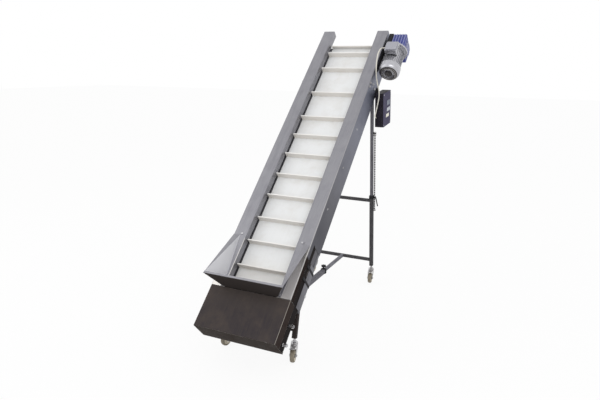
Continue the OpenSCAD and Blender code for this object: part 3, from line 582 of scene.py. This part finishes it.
def lay(piece, name, place, body, slotName, material=None):
    if piece.mode == "EDIT":
        bpy.ops.object.mode_set(mode="OBJECT")
    piece.name = piece.data.name = name
    piece.data.transform(place)
    piece.data.update()
    bpy.ops.object.select_all(action="DESELECT")
    piece.select_set(True)
    bpy.context.view_layer.objects.active = piece
    bpy.ops.object.shade_smooth_by_angle(angle=math.radians(35))
    dress(piece, material or materials[slotName])
    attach(piece, body)
    return piece


def copies(model, name, places, body, slotName):
    # One model, each copy with its own mesh
    for i, place in enumerate(places):
        piece = model.copy()
        piece.data = model.data.copy()
        bpy.context.collection.objects.link(piece)
        lay(piece, name + str(i + 1), place, body, slotName)
    bpy.data.objects.remove(model)


toRight = Matrix.Rotation(math.radians(90), 4, "Y")  # local z turned outward, to the right
toLeft = Matrix.Rotation(math.radians(-90), 4, "Y")
toTail = Matrix.Rotation(math.radians(90), 4, "X")   # local z turned down the belt

# Hexagon bolts on their washers
boltLook = {"radius": 0.0062, "height": 0.0048, "washer": 0.0085, "washerHeight": 0.0013,
            "railTops": ((0.189, 0.578), (0.171, 0.258)),
            "clamps": ((1.825, -0.013), (1.859, -0.059), (1.797, -0.017)), "stub": (1.808, -0.012)}


def makeBolt(look):
    head = startSolid("cylinder", vertices=6, radius=look["radius"], depth=look["height"],
                      location=(0, 0, look["washerHeight"] + look["height"] / 2))
    pickFaces(head, lambda c, n: n.z > 0.9)
    bpy.ops.mesh.inset(thickness=0.0011, depth=0.0007)
    bpy.ops.mesh.inset(thickness=0.0016, depth=-0.0005)
    bpy.ops.object.mode_set(mode="OBJECT")
    washer = startSolid("cylinder", vertices=20, radius=look["washer"], depth=look["washerHeight"],
                        location=(0, 0, look["washerHeight"] / 2))
    pickFaces(washer, lambda c, n: n.z > 0.9)
    bpy.ops.mesh.inset(thickness=0.0008, depth=0.0003)
    bpy.ops.object.mode_set(mode="OBJECT")
    return joined(head, washer)


def addBolts(look):
    tops = [onBelt(side * x, l, 0.0) for side in (-1, 1) for x, l in look["railTops"]]
    sides = [onBelt(0.240, l, n) @ toRight for l, n in look["clamps"]]
    sides += [onBelt(-0.240, l, n) @ toLeft for l, n in look["clamps"]]
    copies(makeBolt(look), "frameBolt", tops + sides, "conveyor", "zinc")


addBolts(boltLook)

# Domed rivets along both side plates
rivetLook = {"radius": 0.0058, "rise": 0.0024, "places": ((1.460, -0.057), (1.152, -0.056), (0.845, -0.050))}


def addRivets(look):
    dome = startSolid("cylinder", vertices=20, radius=look["radius"], depth=look["rise"] / 2,
                      location=(0, 0, look["rise"] / 4))
    pickFaces(dome, lambda c, n: n.z > 0.9)
    for k in (0.25, 0.3, 0.35):
        bpy.ops.mesh.inset(thickness=look["radius"] * k * 0.7, depth=look["rise"] * (0.5 - k) / 1.2)
    bpy.ops.object.mode_set(mode="OBJECT")
    places = [onBelt(0.240, l, n) @ toRight for l, n in look["places"]]
    places += [onBelt(-0.240, l, n) @ toLeft for l, n in look["places"]]
    copies(dome, "sideRivet", places, "conveyor", "zinc")


addRivets(rivetLook)
print("bolts and rivets set")

# Gear housing: a ribbed square casting with a round cover on its outer side
gearLook = {"x": (0.284, 0.376), "l": (2.1712, 2.298), "n": (-0.152, -0.010), "rib": (0.0045, 0.007),
            "topRibs": 5, "sideRibs": 6, "coverRadius": 0.046, "coverOut": 0.0085, "screws": 6}


def addGearHousing(look):
    x0, x1 = look["x"]
    l0, l1 = look["l"]
    n0, n1 = look["n"]
    mid = ((x0 + x1) / 2, (l0 + l1) / 2, (n0 + n1) / 2)
    long, high = l1 - l0, n1 - n0
    body = block((x1 - x0, long, high), mid)
    pickFaces(body, lambda c, n: abs(n.y) > 0.9)
    bpy.ops.mesh.inset(thickness=0.012, depth=-0.003)
    roundAll(body, 0.004, 3)
    width, rise = look["rib"]
    step = (x1 - x0 - 0.016) / (look["topRibs"] - 1)
    top = block((width, long - 0.010, rise + 0.004), (x0 + 0.008, mid[1], n1 + rise / 2 - 0.002))
    repeat(top, look["topRibs"], (step, 0, 0))
    roundAll(top, 0.0011, 2)
    step = (high - 0.020) / (look["sideRibs"] - 1)
    side = block((rise, long - 0.012, width), (x1 + rise / 2 - 0.0045, mid[1], n0 + 0.010))
    repeat(side, look["sideRibs"], (0, 0, step))
    roundAll(side, 0.0011, 2)
    cover = startSolid("cylinder", vertices=48, radius=look["coverRadius"], depth=0.012,
                       rotation=(0, math.radians(90), 0), location=(x1 + look["coverOut"] - 0.006, mid[1], mid[2] - 0.010))
    pickFaces(cover, lambda c, n: n.x > 0.9)
    bpy.ops.mesh.inset(thickness=0.009, depth=0)
    bpy.ops.mesh.inset(thickness=0.003, depth=-0.003)
    bpy.ops.mesh.inset(thickness=0.013, depth=0)
    bpy.ops.mesh.inset(thickness=0.002, depth=0.003)
    roundAll(cover, 0.0007, 2)
    screws = []
    for k in range(look["screws"]):
        angle = 2 * math.pi * (k + 0.5) / look["screws"]
        reach = look["coverRadius"] - 0.005
        screw = startSolid("cylinder", vertices=6, radius=0.0034, depth=0.004, rotation=(0, math.radians(90), 0),
                           location=(x1 + look["coverOut"] - 0.0011, mid[1] + reach * math.cos(angle),
                                     mid[2] - 0.010 + reach * math.sin(angle)))
        screws.append(screw)
    housing = joined(body, top, side, cover, *screws)
    # Painted highlights: the rib tops and the outer side's ribs and cover tinted lighter blue
    lay(housing, "gearHousing", onBelt(0, 0, 0), "conveyor", "gear_paint", makeFinish(
        "gearHousing", finishes["gear_paint"], (((("n", -0.0088, -0.0050),), (0.30, 0.32, 0.52), 0.75),
                                                ((("x", 0.3772, 0.3784),), (0.30, 0.31, 0.42), 0.7))))
    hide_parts("gearbox")


addGearHousing(gearLook)

# Torque tray: a folded dark tray behind the gear housing, held to the rail by a flat black arm; the arm's black
# stands for the side plate's shade beside the motor, a painted shade
trayLook = {"x": (0.254, 0.2838), "l": (2.172, 2.298), "n": (-0.152, -0.004), "wall": 0.006,
            "arm": ((0.2403, 0.2463), (1.963, 2.198), (-0.063, -0.013))}


def addTray(look):
    (x0, x1), (l0, l1), (n0, n1) = look["x"], look["l"], look["n"]
    tray = block((x1 - x0, l1 - l0, n1 - n0), ((x0 + x1) / 2, (l0 + l1) / 2, (n0 + n1) / 2))
    pickFaces(tray, lambda c, n: n.x < -0.9)
    bpy.ops.mesh.inset(thickness=look["wall"], depth=0)
    bpy.ops.mesh.extrude_region_move(TRANSFORM_OT_translate={"value": (x1 - x0 - look["wall"], 0, 0)})
    roundAll(tray, 0.002, 2)
    (a0, a1), (b0, b1), (c0, c1) = look["arm"]
    arm = block((a1 - a0, b1 - b0, c1 - c0), ((a0 + a1) / 2, (b0 + b1) / 2, (c0 + c1) / 2))
    pickFaces(arm, lambda c, n: n.y < -0.9)
    bpy.ops.transform.resize(value=(1, 1, 0.45))
    roundAll(arm, 0.0012, 2)
    spacer = block((x0 - a1 + 0.004, 0.022, 0.030), ((a1 + x0) / 2, b1 - 0.011, -0.040))
    roundAll(spacer, 0.0012, 2)
    bolts = []
    for l, n in ((b0 + 0.025, -0.038), (b1 - 0.060, -0.030), (b1 - 0.060, -0.052)):
        bolt = startSolid("cylinder", vertices=6, radius=0.006, depth=0.005, location=(a1 + 0.002, l, n),
                          rotation=(0, math.radians(90), 0))
        pickFaces(bolt, lambda c, n: n.x > 0.9)
        bpy.ops.mesh.inset(thickness=0.0012, depth=0.0006)
        bpy.ops.object.mode_set(mode="OBJECT")
        bolts.append(bolt)
    whole = joined(tray, arm, spacer, *bolts)
    lay(whole, "torqueTray", onBelt(0, 0, 0), "conveyor", "black_plastic")
    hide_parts("torque_arm")


addTray(trayLook)
print("gear housing and tray made")

# Fan cowl: a drawn cup with a round shoulder and a ringed grille
cowlLook = {"x": 0.322, "n": -0.049, "end": 1.947, "long": 0.0610, "radius": 0.0705, "shoulder": 0.028}


def addCowl(look):
    cup = startSolid("cylinder", vertices=64, radius=look["radius"], depth=look["long"],
                     location=(0, 0, -look["long"] / 2))
    rim = look["radius"] - 0.001
    pickEdges(cup, lambda a, b: a.z > -0.001 and b.z > -0.001 and min(a.xy.length, b.xy.length) > rim)
    bpy.ops.mesh.bevel(offset=look["shoulder"], segments=7, affect="EDGES")
    pickFaces(cup, lambda c, n: n.z > 0.99)
    bpy.ops.mesh.inset(thickness=0.003, depth=-0.0012)
    for k in range(5):
        bpy.ops.mesh.inset(thickness=0.0026, depth=0)
        bpy.ops.mesh.inset(thickness=0.0006, depth=-0.0028)
        bpy.ops.mesh.inset(thickness=0.0028, depth=0)
        bpy.ops.mesh.inset(thickness=0.0008, depth=0.0028)
    pickFaces(cup, lambda c, n: n.z < -0.99)
    bpy.ops.mesh.inset(thickness=0.003, depth=-0.004)
    # The end face is tinted dark grey; the groove bottoms between the grille rings are near-black, painted shade
    finish = makeFinish("fanCowl", finishes["motor_alu"],
                        (((("n", -0.0062, -0.0048),), (0.17, 0.158, 0.15), 0.9),
                         ((("n", -0.0022, -0.0028), ("n", -0.0060, -0.0050)), (0.02, 0.018, 0.018), 0.95)),
                        turn=-slope - math.radians(90), origin=onBelt(look["x"], look["end"], look["n"]).translation)
    cowl = lay(cup, "cowlShell", onBelt(look["x"], look["end"], look["n"]) @ toTail, "conveyor", "motor_alu", finish)
    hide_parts("fan_cowl")


addCowl(cowlLook)

# Panel screws of the control box and of the motor's terminal box
screwLook = {"radius": 0.0042, "height": 0.0016, "slot": 0.0010, "lean": math.atan(0.1256),
             "boxPlace": (0.247, 1.471683, 1.1638), "face": 0.058, "inset": 0.011, "size": (0.172, 0.228),
             "lid": (0.322, 2.107, 0.056), "lidReach": 0.030}


def makeScrew(look):
    head = startSolid("cylinder", vertices=20, radius=look["radius"], depth=look["height"],
                      location=(0, 0, look["height"] / 2))
    pickFaces(head, lambda c, n: n.z > 0.9)
    bpy.ops.mesh.inset(thickness=0.0010, depth=0.0004)
    bpy.ops.mesh.inset(thickness=0.0018, depth=-look["slot"])
    bpy.ops.object.mode_set(mode="OBJECT")
    return head


def addScrews(look):
    corner = Vector((incline["shiftX"], incline["shiftY"], 0)) + Vector(look["boxPlace"])
    pose = Matrix.Translation(corner) @ Matrix.Rotation(look["lean"], 4, "X")
    wide, high = look["size"]
    gap = look["inset"]
    spots = [(look["face"], y, z) for y in (gap, wide - gap) for z in (gap, high - gap)]
    copies(makeScrew(look), "panelScrew", [pose @ Matrix.Translation(s) @ toRight for s in spots], "conveyor", "zinc")
    x, l, n = look["lid"]
    reach = look["lidReach"]
    copies(makeScrew(look), "lidScrew", [onBelt(x + i * reach, l + j * reach, n) for i in (-1, 1) for j in (-1, 1)],
           "conveyor", "motor_alu")
    return pose, corner


controlPose, controlCorner = addScrews(screwLook)
dress(nodes["control_keys"], makeFinish(
    "control_keys", finishes["keys"], (((("n", 0.128, 0.132),), (0.055, 0.075, 0.13), 0.85),
                                       ((("n", 0.086, 0.082),), (0.78, 0.75, 0.62), 0.9)),
    turn=-screwLook["lean"], origin=controlCorner))
print("cowl and screws made")

# Pressed straps over the lower tubes, and the boot's side sheets
strapLook = {"places": (0.400, 0.475), "wide": 0.016, "thick": 0.0013, "n": (-0.166, -0.050)}
barLook = {"l": (0.246, 0.505), "n": (-0.160, -0.095), "x": (0.2384, 0.2400)}
sheetLook = {"l": (0.430, 0.598), "n": (-0.133, -0.048), "x": 0.2368, "thick": 0.0012}


def addStraps(look):
    for side in (-1, 1):
        for i, l in enumerate(look["places"]):
            n0, n1 = look["n"]
            strap = block((look["thick"], look["wide"], n1 - n0),
                          (side * (0.2402 + look["thick"] / 2), l, (n0 + n1) / 2))
            pickFaces(strap, lambda c, n: n.x * side > 0.9)
            bpy.ops.mesh.inset(thickness=0.003, depth=0.0008)
            roundAll(strap, 0.0003, 1)
            lay(strap, ("right" if side > 0 else "left") + "Strap" + str(i + 1), onBelt(0, 0, 0), "conveyor",
                "black_plastic")


def addSideSheets(look):
    # Near-black beside the boot, painted shade of the recess; plate grey above the straps
    finish = makeFinish("sideSheet", finishes["boot_steel"], (((("l", 0.500, 0.512),), (0.125, 0.123, 0.137), 0.95),))
    for side in (-1, 1):
        (l0, l1), (n0, n1) = look["l"], look["n"]
        sheet = block((look["thick"], l1 - l0, n1 - n0), (side * look["x"], (l0 + l1) / 2, (n0 + n1) / 2))
        pickFaces(sheet, lambda c, n: n.z < -0.9)
        bpy.ops.mesh.extrude_region_move(TRANSFORM_OT_translate={"value": (0, 0, -0.002)})
        bpy.ops.transform.translate(value=(-side * 0.006, 0, 0))
        roundAll(sheet, 0.0003, 1)
        lay(sheet, ("right" if side > 0 else "left") + "SideSheet", onBelt(0, 0, 0), "conveyor", "boot_steel", finish)


def addSideBars(look):
    # Flat bars over the lower tubes, lighter than the boot, in the lit copy of the lower tube finish: painted light
    (l0, l1), (n0, n1), (x0, x1) = look["l"], look["n"], look["x"]
    finish = makeFinish("sideBar", litAndShadedTubes["lower_tubes"])
    for side in (-1, 1):
        bar = block((x1 - x0, l1 - l0, n1 - n0), (side * (x0 + x1) / 2, (l0 + l1) / 2, (n0 + n1) / 2))
        pickFaces(bar, lambda c, n: n.x * side > 0.9)
        bpy.ops.mesh.inset(thickness=0.002, depth=0.0004)
        roundAll(bar, 0.0003, 1)
        lay(bar, ("right" if side > 0 else "left") + "SideBar", onBelt(0, 0, 0), "conveyor", "frame_tube", finish)


addStraps(strapLook)
addSideBars(barLook)
addSideSheets(sheetLook)
print("straps and sheets made")
